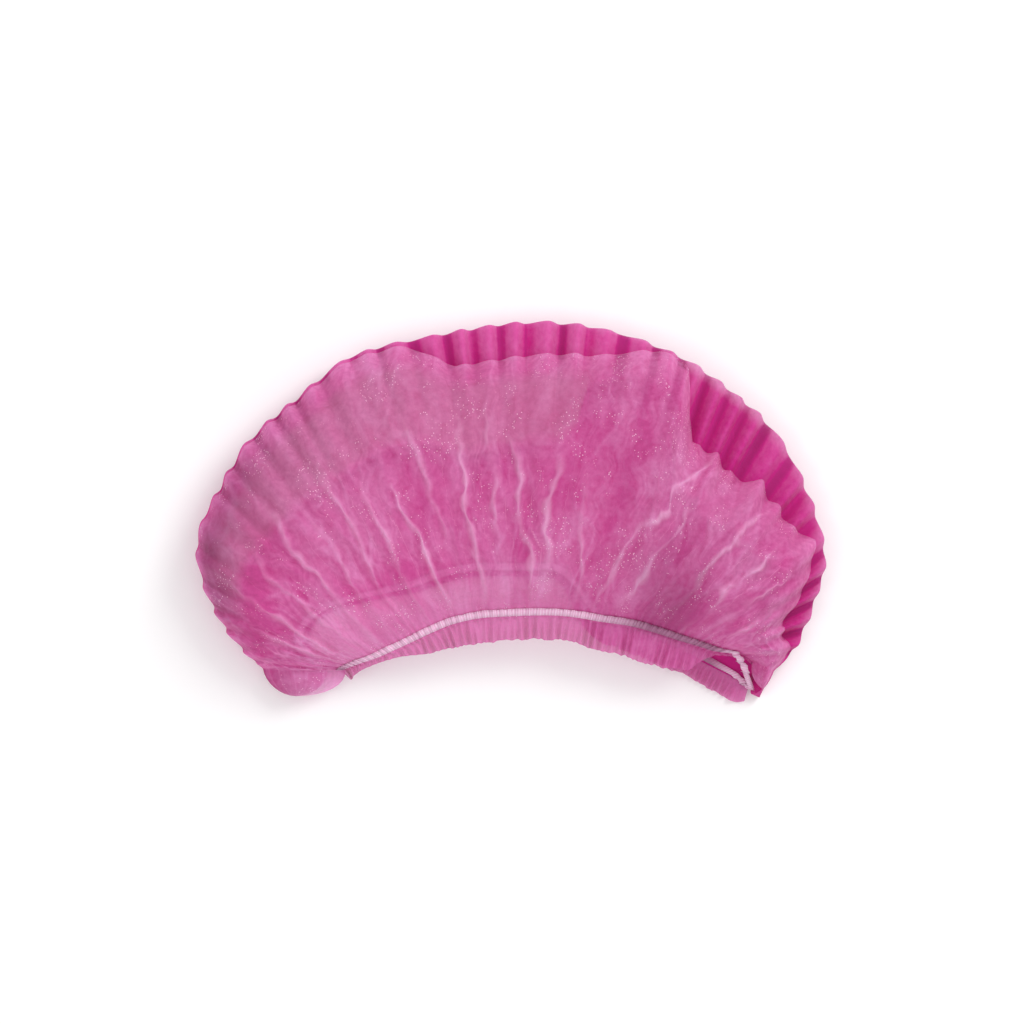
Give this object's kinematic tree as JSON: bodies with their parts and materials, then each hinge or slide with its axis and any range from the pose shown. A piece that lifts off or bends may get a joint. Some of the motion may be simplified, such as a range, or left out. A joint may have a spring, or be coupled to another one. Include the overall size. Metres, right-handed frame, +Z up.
{
  "type": "disposable hair cover cap",
  "caption": "Pink pleated non-woven hair cover cap lying on its side, with a scalloped ridge, a lengthwise tuck, stitched elastic and a gathered hem frill.",
  "frame": {"origin": "on the floor, under the centre of the cap's box", "axes": "+X to the right along the mouth, +Y from the mouth to the ridge, +Z up from the floor"},
  "size_m": [0.3015, 0.18, 0.0645],
  "materials": {
    "pink_nonwoven": "thin translucent spunbond cloth, matte",
    "lilac_elastic": "knitted elastic braid, matte",
    "pink_frill": "thin translucent spunbond cloth, finely gathered"
  },
  "bodies": {
    "root": {"crown": "pink_nonwoven", "elastic_band": "lilac_elastic", "hem_frill": "pink_frill"}
  },
  "joints": []
}
